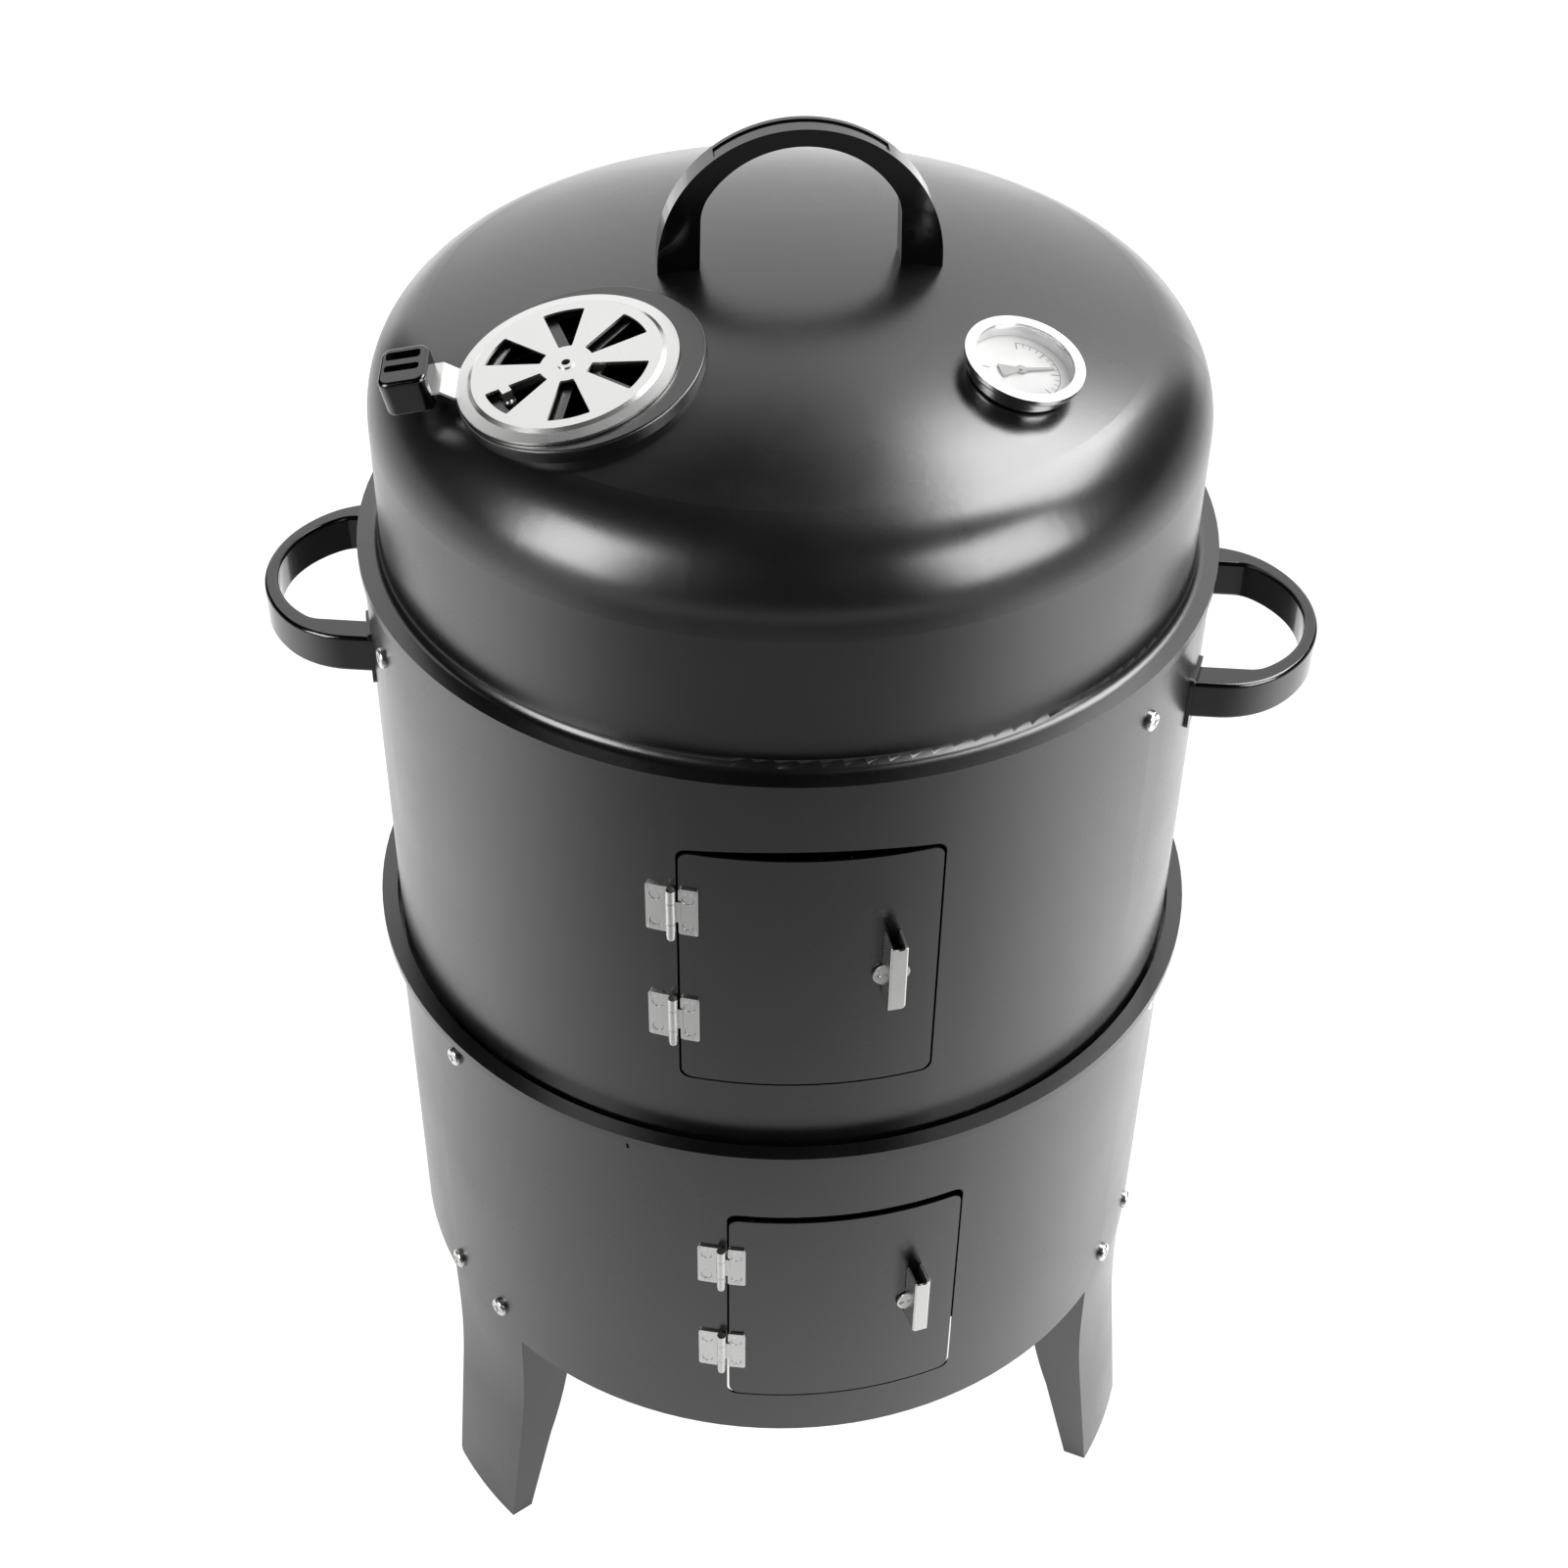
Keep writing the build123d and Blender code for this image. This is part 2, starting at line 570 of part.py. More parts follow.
def make_side_handle(name, side):
    """Flat D-shaped grip on a curved sheet pad at each arm."""
    middle = (GRIP_BOTTOM + GRIP_TOP) / 2
    with BuildPart() as grip:
        with BuildSketch(Plane.XY.offset(GRIP_BOTTOM)):
            with BuildSketch(mode=Mode.PRIVATE) as loop:
                with BuildLine():
                    nose = ThreePointArc((216.9, -ARM_OUTER), (254.5, 0), (216.9, ARM_OUTER))
                    Polyline(nose @ 1, (170, ARM_OUTER), (170, -ARM_OUTER), nose @ 0)
                make_face()
                fillet(loop.vertices().filter_by(lambda v: v.X > 200), 44)
            with BuildSketch(mode=Mode.PRIVATE) as space:
                with BuildLine():
                    nose = ThreePointArc((223.2, -ARM_INNER), (248, 0), (223.2, ARM_INNER))
                    Polyline(nose @ 1, (160, ARM_INNER), (160, -ARM_INNER), nose @ 0)
                make_face()
                fillet(space.vertices().filter_by(lambda v: v.X > 200), 14)
            add(loop.sketch - space.sketch, rotation=90 - side * 90)
        extrude(amount=GRIP_TOP - GRIP_BOTTOM)
        Cylinder(COOK_RADIUS + 1.6, 2000, mode=Mode.SUBTRACT)
        flat_rims = grip.edges().filter_by(lambda e: abs(e.center().Z - middle) > 9.9)
        fillet(flat_rims.filter_by(lambda e: Vector(e.center().X, e.center().Y, 0).length > 205), 2.0)
        with Locations(*arm_planes(side, COOK_RADIUS)):
            Cylinder(2.0, 14, align=ON_BASE, mode=Mode.SUBTRACT)
        with Locations(wall_plane(side * 90 - side * 6.5, 256.5, middle)):
            Cylinder(3.4, 6, mode=Mode.SUBTRACT)
    save(grip, f"{name}_handle")
    with BuildPart() as pads:
        for turn in (-ARM_AZIMUTH, ARM_AZIMUTH):
            add(curved_plate(side * 90 + turn, middle, COOK_RADIUS, COOK_RADIUS + 1.6, 24, 28, 3))
        with Locations(*arm_planes(side, COOK_RADIUS)):
            Cylinder(2.1, 12, mode=Mode.SUBTRACT)
    save(pads, f"{name}_handle_pads")


def make_side_handle_screws():
    """Screws driven from inside the barrel into the arms."""
    planes = arm_planes(-1, COOK_RADIUS - SHEET - 0.1) + arm_planes(1, COOK_RADIUS - SHEET - 0.1)
    inward = [Plane(origin=p.origin, x_dir=p.x_dir, z_dir=p.z_dir * -1) for p in planes]
    save(group(pan_screw(4.5, 2.6, 2.0, 12.5), inward), "side_handle_screws")


# ---------------------------------------------------------------- bowls and grates


def bowl(name, rim, body, waist, top, waist_height, bottom):
    """Thin pressed bowl hanging by its flat rim: flange, tapering wall, rounded floor."""
    with BuildPart() as shell:
        with BuildSketch(Plane.XZ) as profile:
            with BuildLine():
                Polyline((0, bottom), (waist, bottom), (body, top), (rim, top), (rim, top + BOWL_SHEET))
                Polyline((rim, top + BOWL_SHEET), (0, top + BOWL_SHEET), (0, bottom))
            make_face()
            fillet(profile.vertices().filter_by(lambda v: abs(v.X - waist) < 0.01), waist_height)
        revolve(axis=Axis.Z)
        neck = shell.edges().filter_by(GeomType.CIRCLE).filter_by(lambda e: abs(e.radius - body) < 0.01)
        fillet(neck, 2)
        with BuildSketch(Plane.XZ) as hollow:
            with BuildLine():
                Polyline((0, bottom + BOWL_SHEET), (waist - BOWL_SHEET, bottom + BOWL_SHEET))
                Polyline((waist - BOWL_SHEET, bottom + BOWL_SHEET), (body - BOWL_SHEET, top + 3))
                Polyline((body - BOWL_SHEET, top + 3), (0, top + 3), (0, bottom + BOWL_SHEET))
            make_face()
            corner = hollow.vertices().filter_by(lambda v: abs(v.X - waist + BOWL_SHEET) < 0.01)
            fillet(corner, waist_height - BOWL_SHEET)
        revolve(axis=Axis.Z, mode=Mode.SUBTRACT)
    save(shell, name)


def grate(name, ring_radius, ring_height, spacing):
    """Round grate: a ring, parallel rods welded on it and two cross rods under them."""
    rod_height = ring_height + GRATE_RING + GRATE_ROD * 0.5
    count = int((ring_radius - spacing / 2) / spacing)
    with BuildPart() as piece:
        with Locations((0, 0, ring_height)):
            Torus(ring_radius, GRATE_RING)
        for number in range(-count, count + 1):
            reach = number * spacing
            half = sqrt(ring_radius**2 - reach**2)
            with Locations(Plane(origin=(reach, -half, rod_height), x_dir=(1, 0, 0), z_dir=(0, 1, 0))):
                Cylinder(GRATE_ROD, 2 * half, align=ON_BASE)
        for reach in (-ring_radius / 2, ring_radius / 2):
            half = sqrt(ring_radius**2 - reach**2)
            low = rod_height - 1.6 * GRATE_ROD
            with Locations(Plane(origin=(-half, reach, low), x_dir=(0, 1, 0), z_dir=(1, 0, 0))):
                Cylinder(GRATE_ROD, 2 * half, align=ON_BASE)
    save(piece, name)


# ---------------------------------------------------------------- lid


def lid_outline(gap):
    """Half section of the lid's solid form, inset by a gap from its outer face."""
    skirt = SKIRT_RADIUS - gap
    knuckle = KNUCKLE - gap
    centre = SKIRT_RADIUS - KNUCKLE
    crown = CROWN - gap
    meet = centre * crown / (CROWN - KNUCKLE)
    meet_height = CROWN_CENTRE + sqrt(crown**2 - meet**2)
    bend = (centre + knuckle * sin(radians(55)), SKIRT_TOP + knuckle * cos(radians(55)))
    halfway = (crown * sin(radians(9)), CROWN_CENTRE + crown * cos(radians(9)))
    flange = COOK_TOP + REST_GAP + (SHEET - gap)
    with BuildSketch(Plane.XZ) as profile:
        with BuildLine():
            Line((0, HEM_BOTTOM), (HEM_RADIUS - gap, HEM_BOTTOM))
            Line((HEM_RADIUS - gap, HEM_BOTTOM), (HEM_RADIUS - gap, flange))
            Line((HEM_RADIUS - gap, flange), (skirt, flange + 1.2))
            Line((skirt, flange + 1.2), (skirt, SKIRT_TOP))
            ThreePointArc((skirt, SKIRT_TOP), bend, (meet, meet_height))
            ThreePointArc((meet, meet_height), halfway, (0, CROWN_CENTRE + crown))
            Line((0, CROWN_CENTRE + crown), (0, HEM_BOTTOM))
        make_face()
        cove = profile.vertices().filter_by(lambda v: abs(v.X - skirt) < 0.01 and v.Z < 620)
        fillet(cove, 5.0 + gap)
        edge = profile.vertices().filter_by(
            lambda v: abs(v.X - HEM_RADIUS + gap) < 0.01 and v.Z > HEM_BOTTOM + 1)
        fillet(edge, 1.6 - gap)
    return profile.sketch


def vent_slots(turn, shift=(0, 0)):
    """Six wedge slots about the vent's centre."""
    with BuildSketch(vent_plane()) as slots:
        with Locations(shift):
            with PolarLocations(0, 6, start_angle=turn):
                with BuildSketch(mode=Mode.PRIVATE) as wedge:
                    with BuildLine():
                        far = CenterArc((0, 0), SLOT_OUTER, -SLOT_HALF_ANGLE, 2 * SLOT_HALF_ANGLE)
                        near = CenterArc((0, 0), SLOT_INNER, -SLOT_HALF_ANGLE, 2 * SLOT_HALF_ANGLE)
                        Line(far @ 0, near @ 0)
                        Line(far @ 1, near @ 1)
                    make_face()
                    fillet(wedge.vertices(), 0.8)
                add(wedge.sketch)
    return slots.sketch


def handle_frame():
    """Unit vector along the lid handle, the one across it, and the handle's middle."""
    along = tangent(HANDLE_TURN)
    across = outward(HANDLE_TURN) * -1
    return along, across, along * HANDLE_SHIFT[0] + across * HANDLE_SHIFT[1]


def foot_planes():
    """Planes under the lid handle's two feet, lying on the crown."""
    along, _, middle = handle_frame()
    feet = [middle + along * side * FOOT_REACH_ALONG for side in (-1, 1)]
    return [dome_plane(degrees(atan2(foot.X, -foot.Y)), hypot(foot.X, foot.Y)) for foot in feet]


def stop_plane():
    """Plane at the vent's stop bolt, on the seat."""
    place = vent_plane(STOP_ANGLE)
    return Plane(origin=place.from_local_coords((STOP_REACH, 0, 0.6)), x_dir=place.x_dir, z_dir=place.z_dir)


def make_lid_shell():
    """Domed lid with a hem that drops over the barrel and a flat raised seat for the vent."""
    vent = vent_plane()
    with BuildPart() as shell:
        add(lid_outline(0))
        revolve(axis=Axis.Z)
        with BuildSketch(vent.offset(-25)):
            with Locations(LID_SLOT_SHIFT):
                Circle(SEAT_RADIUS)
        extrude(amount=25.6)
        rim = shell.edges().filter_by(GeomType.CIRCLE).filter_by(lambda e: abs(e.radius - SEAT_RADIUS) < 0.01)
        fillet(rim, 1.0)
        add(lid_outline(SHEET))
        revolve(axis=Axis.Z, mode=Mode.SUBTRACT)
        with BuildSketch(vent.offset(-30)):
            with Locations(LID_SLOT_SHIFT):
                Circle(SEAT_RADIUS - SHEET)
        extrude(amount=29.4, mode=Mode.SUBTRACT)
        extrude(vent_slots(SLOT_TURN, LID_SLOT_SHIFT), amount=5, both=True, mode=Mode.SUBTRACT)
        with Locations(vent):
            Cylinder(2.9 + SHANK_GAP, 12, mode=Mode.SUBTRACT)
        with Locations(stop_plane()):
            Cylinder(1.6, 12, mode=Mode.SUBTRACT)
        with Locations(dome_plane(*THERMOMETER)):
            Cylinder(3.3, 12, mode=Mode.SUBTRACT)
        with Locations(*foot_planes()):
            Cylinder(2.6, 12, mode=Mode.SUBTRACT)
    save(shell, "lid_shell")


def make_lid_handle():
    """Arched handle with a sunk panel along its top, standing on two feet cut to the crown."""
    along, across, middle = handle_frame()
    face = Plane(origin=middle, x_dir=along, z_dir=across * -1)
    with BuildPart() as arch:
        with BuildSketch(face):
            with BuildSketch(mode=Mode.PRIVATE) as form:
                with Locations((0, ARCH_CENTRE)):
                    Circle(ARCH_RADIUS)
                with Locations((0, ARCH_CENTRE - 15)):
                    Rectangle(2 * ARCH_RADIUS, 30)
                    Rectangle(200, 130, align=(Align.CENTER, Align.MAX), mode=Mode.SUBTRACT)
            with BuildSketch(mode=Mode.PRIVATE) as space:
                with BuildLine():
                    crest = ThreePointArc((-43.0, 764.0), (0, 791.9), (43.0, 764.0))
                    Polyline(crest @ 1, (44.5, 700), (-44.5, 700), crest @ 0)
                make_face()
                fillet(space.vertices().filter_by(lambda v: v.Y > 750), 22)
            add(form.sketch - space.sketch)
        extrude(amount=HANDLE_HALF_DEPTH, both=True)
        with BuildSketch(face):
            with Locations((0, ARCH_CENTRE)):
                with BuildSketch(mode=Mode.PRIVATE) as panel:
                    with BuildLine():
                        far = CenterArc((0, 0), ARCH_RADIUS + 2, 53, 74)
                        near = CenterArc((0, 0), ARCH_RADIUS - 0.8, 53, 74)
                        Line(far @ 0, near @ 0)
                        Line(far @ 1, near @ 1)
                    make_face()
                add(panel.sketch)
        extrude(amount=HANDLE_HALF_DEPTH - 2.6, both=True, mode=Mode.SUBTRACT)
        with Locations((0, 0, CROWN_CENTRE)):
            Sphere(CROWN, mode=Mode.SUBTRACT)
        with Locations(*foot_planes()):
            Cylinder(2.55, 30, mode=Mode.SUBTRACT)
    save(arch, "lid_handle")


def make_lid_handle_fasteners():
    """Screws and washers inside the lid, driven up into the feet."""
    below = []
    for place in foot_planes():
        under = place.offset(-SHEET - 0.08)
        below.append(Plane(origin=under.origin, x_dir=under.x_dir, z_dir=under.z_dir * -1))
    with BuildPart() as washer:
        Cylinder(7.0, 1.0, align=ON_BASE)
        Cylinder(2.6, 4, mode=Mode.SUBTRACT)
    save(group(washer.part, below), "lid_handle_washers")
    save(group(pan_screw(4.8, 2.8, 2.5, 14.0), [p.offset(1.0) for p in below]), "lid_handle_screws")


def make_thermometer():
    """Dial thermometer: deep cup with a wide bezel, dial, needle, glass, stem and nut."""
    place = dome_plane(*THERMOMETER)
    section = Plane(origin=place.origin, x_dir=place.x_dir, z_dir=place.y_dir * -1)
    axis = Axis(place.origin, place.z_dir)
    with BuildPart() as case:
        with BuildSketch(section) as profile:
            with BuildLine():
                Polyline((0.86, 0.05), (CUP_RADIUS, 0.05), (CUP_RADIUS, 6.4), (BEZEL_RADIUS, 6.4))
                Polyline((BEZEL_RADIUS, 6.4), (BEZEL_RADIUS, 9.6), (WINDOW_RADIUS, 9.6), (WINDOW_RADIUS, 1.4))
                Polyline((WINDOW_RADIUS, 1.4), (0.86, 1.4), (0.86, 0.05))
            make_face()
            corners = profile.vertices().sort_by(axis)[-2:]
            fillet(corners, 1.1)
        revolve(axis=axis)
    save(case, "thermometer_case")
    with BuildPart() as dial:
        with BuildSketch(place.offset(1.4)):
            Circle(WINDOW_RADIUS - 0.05)
            Circle(0.86, mode=Mode.SUBTRACT)
        extrude(amount=0.5)
    save(dial, "thermometer_dial")
    with BuildPart() as needle:
        with Locations(place.offset(0.5)):
            Cylinder(0.8, 3.0, align=ON_BASE)
        with BuildSketch(place.offset(2.5)):
            Circle(2.4)
            with BuildSketch(mode=Mode.PRIVATE) as arm:
                Polygon((0, -1.0), (15, -0.5), (15, 0.5), (0, 1.0), align=None)
                Polygon((0, -1.0), (0, 1.0), (-9.5, 3.6), (-9.5, -3.6), align=None)
            add(arm.sketch, rotation=57)
        extrude(amount=0.5)
    save(needle, "thermometer_needle")
    with BuildPart() as glass:
        with Locations(place.offset(7.4)):
            Cylinder(WINDOW_RADIUS - 0.05, 1.2, align=ON_BASE)
    save(glass, "thermometer_glass")
    with BuildPart() as stem:
        with Locations(place.offset(0.05)):
            Cylinder(3.2, 50.0, align=HANGING)
        fillet(stem.edges().sort_by(Axis.Z)[:1], 2.0)
    save(stem, "thermometer_stem")
    save(group(hex_nut(7.0, 4.0, 3.2), [place.offset(-SHEET - 0.12)]), "thermometer_nut")


def make_vent():
    """Sliding vent: pressed damper disc with a tab and grip, hollow pivot rivet and stop bolt."""
    vent = vent_plane()
    turned = vent_plane(TAB_ANGLE)
    section = Plane(origin=turned.origin, x_dir=turned.x_dir, z_dir=turned.y_dir * -1)
    axis = Axis(vent.origin, vent.z_dir)
    with BuildPart() as damper:
        with BuildSketch(section):
            with BuildLine():
                Polyline((2.96, 2.8), (40.4, 2.8), (42.2, 1.7), (DAMPER_RADIUS, 0.9), (DAMPER_RADIUS, 2.1))
                Polyline((DAMPER_RADIUS, 2.1), (42.7, 2.9), (40.9, 4.0), (2.96, 4.0), (2.96, 2.8))
            make_face()
        revolve(axis=axis)
        with BuildSketch(section):
            with BuildLine():
                under = [(45.7, 1.2), (48, 1.1), (53, 5.4), (65, 5.4)]
                upper = [(65, 6.6), (52.6, 6.6), (47.4, 2.2), (45.7, 2.3)]
                Polyline(*under, *upper, close=True)
            make_face()
        extrude(amount=9.75, both=True)
        extrude(vent_slots(SLOT_TURN), amount=8, mode=Mode.SUBTRACT)
    save(damper, "vent_damper")
    with BuildPart() as grip:
        with BuildSketch(turned.offset(-1.5)):
            with Locations((66.7, 0)):
                RectangleRounded(21, 25, 5)
        extrude(amount=17.5)
        ends = grip.faces().sort_by(axis)
        fillet(ends[0].edges() + ends[-1].edges(), 2.0)
        with BuildSketch(turned.offset(10)):
            with Locations((67.2, -6.3)):
                RectangleRounded(15, 5.2, 1.5)
            with Locations((67.2, 1.9)):
                RectangleRounded(15, 4.2, 1.5)
        extrude(amount=10, mode=Mode.SUBTRACT)
        with BuildSketch(turned.offset(5.35)):
            with Locations((60.1, 0)):
                Rectangle(10, 19.6)
        extrude(amount=1.3, mode=Mode.SUBTRACT)
    save(grip, "vent_grip")
    with BuildPart() as pivot:
        with BuildSketch(section):
            with BuildLine():
                flange = [(1.9, -1.5), (4.4, -1.5), (4.4, -0.65), (2.9, -0.65)]
                swage = [(2.9, 4.1), (3.7, 4.1), (3.7, 4.6), (1.9, 4.6)]
                Polyline(*flange, *swage, close=True)
            make_face()
        revolve(axis=axis)
    save(pivot, "vent_pivot_rivet")
    stop = stop_plane()
    with BuildPart() as bolt:
        with BuildSketch(stop):
            Rectangle(4.2, 4.2)
        extrude(amount=4.6)
        with Locations(stop):
            Cylinder(1.5, 5.0, align=HANGING)
        with Locations(stop.offset(-SHEET - 0.05)):
            Cylinder(3.0, 2.0, align=HANGING)
    save(bolt, "vent_stop_bolt")


def make_all():
    """Build and write every piece."""
    make_fire_barrel()
    for name, azimuth in LEG_AZIMUTHS.items():
        make_leg(name, azimuth)
    make_leg_fasteners()
    make_brackets("fire", FIRE_BRACKETS, FIRE_RADIUS - SHEET, FIRE_SHELF, 345.0, 355.6)
    make_brackets("cook", COOK_BRACKETS, COOK_RADIUS - SHEET, COOK_SHELF, 580.0, 571.0)
    make_door("fire", FIRE_DOOR, FIRE_RADIUS, FIRE_HINGES, FIRE_LATCH)
    make_door("cook", COOK_DOOR, COOK_RADIUS, COOK_HINGES, COOK_LATCH)
    make_hinges("fire", FIRE_HINGES, FIRE_RADIUS)
    make_hinges("cook", COOK_HINGES, COOK_RADIUS)
    make_latch("fire", FIRE_LATCH, FIRE_RADIUS)
    make_latch("cook", COOK_LATCH, COOK_RADIUS)
    make_cook_barrel()
    make_side_handle("left", -1)
    make_side_handle("right", 1)
    make_side_handle_screws()
    bowl("water_bowl", WATER_RIM, WATER_BODY, 148.0, FIRE_SHELF + REST_GAP, 30.0, 270.0)
    bowl("charcoal_bowl", CHARCOAL_RIM, CHARCOAL_BODY, 146.0, LEG_TOP + REST_GAP, 22.0, 143.0)
    grate("lower_grate", 177.0, FIRE_SHELF + 2 * REST_GAP + BOWL_SHEET + GRATE_RING, 18.0)
    grate("upper_grate", 179.0, COOK_SHELF + REST_GAP + GRATE_RING, 18.0)
    grate("charcoal_grate", 146.0, 170.3, 16.0)
    make_lid_shell()
    make_lid_handle()
    make_lid_handle_fasteners()
    make_thermometer()
    make_vent()


make_all()
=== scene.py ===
"""Finished look of a vertical water smoker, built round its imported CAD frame."""

import json
import math

import bmesh
import bpy
from bpy.props import FloatProperty, FloatVectorProperty, IntProperty, PointerProperty
from mathutils import Matrix, Vector


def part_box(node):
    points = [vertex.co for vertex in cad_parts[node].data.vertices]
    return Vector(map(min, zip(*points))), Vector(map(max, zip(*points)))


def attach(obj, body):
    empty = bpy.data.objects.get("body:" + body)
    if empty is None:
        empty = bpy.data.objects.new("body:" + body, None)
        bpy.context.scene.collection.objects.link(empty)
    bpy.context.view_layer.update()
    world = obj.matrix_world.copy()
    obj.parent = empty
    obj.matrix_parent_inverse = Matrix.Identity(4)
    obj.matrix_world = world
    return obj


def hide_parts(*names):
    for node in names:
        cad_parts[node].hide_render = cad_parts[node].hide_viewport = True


bl_info = {
    "name": "Vertical water smoker",
    "version": (1, 0, 0),
    "blender": (4, 5, 0),
    "location": "View3D > Sidebar > Smoker",
    "description": "Builds the finished pieces, surfaces and studio of a vertical water smoker",
    "category": "Object",
}

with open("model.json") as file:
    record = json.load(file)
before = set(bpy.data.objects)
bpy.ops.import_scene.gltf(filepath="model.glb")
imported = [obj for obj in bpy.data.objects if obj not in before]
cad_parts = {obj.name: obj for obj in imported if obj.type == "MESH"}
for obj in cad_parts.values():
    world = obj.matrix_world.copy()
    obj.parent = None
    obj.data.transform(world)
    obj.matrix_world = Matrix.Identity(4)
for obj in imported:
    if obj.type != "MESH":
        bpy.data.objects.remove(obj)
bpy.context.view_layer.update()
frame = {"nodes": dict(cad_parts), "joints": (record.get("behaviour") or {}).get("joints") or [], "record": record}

# Vertices of a CAD node closer than this are one, and edges sharper than this are eased
WELD = 2e-6
CREASE = math.radians(38)

# Printed scale: its reach as a share of the dial's box, its height over the dial and its line widths
SCALE_SHARE = 0.28
PRINT_LIFT = 0.00006
ARC_WIDTH = 0.00035
ARC_STEPS = 96
SHORT_MARK_WIDTH = 0.0003
LONG_MARK_WIDTH = 0.0005
LONG_MARK_STRETCH = 1.7
LONG_MARK_EVERY = 4

# Floor: half size, the spot in front where a painted shade darkens the floor's colour, and where that painted
# shade starts and ends
FLOOR_SIZE = 12.0
PAINTED_SHADE_SPOT = (0.05, -1.9, 0.0)
SHADE_START = 1.05
SHADE_END = 2.1
PAINTED_SHADE_GREY = 0.24
PALE_GREY = 0.8
PALE_LIFT = 0.55
FLOOR_GLOW = 1.15
FLOOR_WHITE_SHARE = 0.85
WORLD_GREY = 0.015

# Soft boxes: turn from the front and rise in degrees, distance, size and radiance
LIGHTS_AIM = Vector((0, 0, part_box("lid_shell")[1].z * 0.92))
SOFT_BOXES = (
    ("left_soft_box", -51, 22, 1.6, (0.72, 1.0), 9.0),
    ("right_soft_box", 60, 22, 1.6, (0.9, 0.95), 8.2),
    ("high_soft_box", 113, 52, 1.7, (1.15, 1.0), 9.5),
    ("back_wash", 180, 20, 1.9, (3.6, 3.4), 1.25),
)


# ---------------------------------------------------------------- settings


class SmokerPaintSettings(bpy.types.PropertyGroup):
    """Colours and gloss of the finishes."""

    enamel: FloatVectorProperty(
        name="Enamel", description="Colour of the baked black paint", default=(0.0007, 0.0007, 0.00073),
        size=3, subtype="COLOR", min=0, max=1)
    enamel_roughness: FloatProperty(
        name="Enamel roughness", description="Spread of the paint's reflections", default=0.275, min=0, max=1)
    peel: FloatProperty(
        name="Orange peel", description="Size of the paint's fine waviness", default=0.004,
        unit="LENGTH", min=0.0005)
    zinc: FloatVectorProperty(
        name="Zinc", description="Colour of the plated hardware", default=(0.74, 0.74, 0.73),
        size=3, subtype="COLOR", min=0, max=1)
    plastic: FloatVectorProperty(
        name="Handle plastic", description="Colour of the moulded handles", default=(0.001, 0.001, 0.00105),
        size=3, subtype="COLOR", min=0, max=1)


class SmokerDialSettings(bpy.types.PropertyGroup):
    """Layout of the thermometer's dial."""

    marks: IntProperty(name="Marks", description="Number of short scale marks", default=25, min=3)
    sweep: FloatProperty(
        name="Sweep", description="Angle covered by the scale", default=math.radians(270),
        subtype="ANGLE", min=0.1)
    mark_length: FloatProperty(
        name="Mark length", description="Length of a short mark", default=0.0022, unit="LENGTH", min=0.0001)


class SmokerStageSettings(bpy.types.PropertyGroup):
    """Camera and studio."""

    turn: FloatProperty(
        name="Turn", description="Camera's turn from the front", default=math.radians(3.6), subtype="ANGLE")
    distance: FloatProperty(
        name="Distance", description="Camera to the smoker's axis, level", default=0.981, unit="LENGTH")
    height: FloatProperty(name="Height", description="Camera above the floor", default=1.262, unit="LENGTH")
    pitch: FloatProperty(
        name="Pitch", description="Camera's tilt below the level", default=math.radians(40.27), subtype="ANGLE")
    roll: FloatProperty(
        name="Roll", description="Camera's roll", default=math.radians(0.95), subtype="ANGLE")
    lens: FloatProperty(
        name="Lens", description="Focal length on a 36 mm frame, in millimetres", default=57.27)


# ---------------------------------------------------------------- shader helpers


def new_group(name, inputs, outputs):
    """Empty shader node group with float inputs and outputs, given as (name, default) and name."""
    group = bpy.data.node_groups.new(name, "ShaderNodeTree")
    for label, default in inputs:
        socket = group.interface.new_socket(label, in_out="INPUT", socket_type="NodeSocketFloat")
        socket.default_value = default
    for label in outputs:
        group.interface.new_socket(label, in_out="OUTPUT", socket_type="NodeSocketFloat")
    return group


def add_node(tree, kind, place, **values):
    """New node with its properties and unlinked inputs set."""
    node = tree.nodes.new(kind)
    node.location = (place[0] * 220, place[1] * 200)
    for key, value in values.items():
        if key in node.inputs:
            node.inputs[key].default_value = value
        else:
            setattr(node, key, value)
    return node


def sprayed_group():
    """Sprayed paint: fine waviness as height and soft patches as a mask."""
    group = new_group("Sprayed paint", [("Scale", 250.0), ("Patch scale", 9.0)], ["Height", "Patches"])
    start = add_node(group, "NodeGroupInput", (-4, 0))
    end = add_node(group, "NodeGroupOutput", (3, 0))
    where = add_node(group, "ShaderNodeTexCoord", (-4, 1))
    fine = add_node(group, "ShaderNodeTexNoise", (-2, 1), Detail=2.0, Roughness=0.5)
    broad = add_node(group, "ShaderNodeTexNoise", (-2, 0), Detail=5.0, Roughness=0.55)
    for noise, size in ((fine, "Scale"), (broad, "Patch scale")):
        group.links.new(where.outputs["Object"], noise.inputs["Vector"])
        group.links.new(start.outputs[size], noise.inputs["Scale"])
    spread = add_node(group, "ShaderNodeMapRange", (0, 0))
    spread.inputs["From Min"].default_value = 0.35
    spread.inputs["From Max"].default_value = 0.7
    group.links.new(broad.outputs["Fac"], spread.inputs["Value"])
    group.links.new(fine.outputs["Fac"], end.inputs["Height"])
    group.links.new(spread.outputs["Result"], end.inputs["Patches"])
    return group


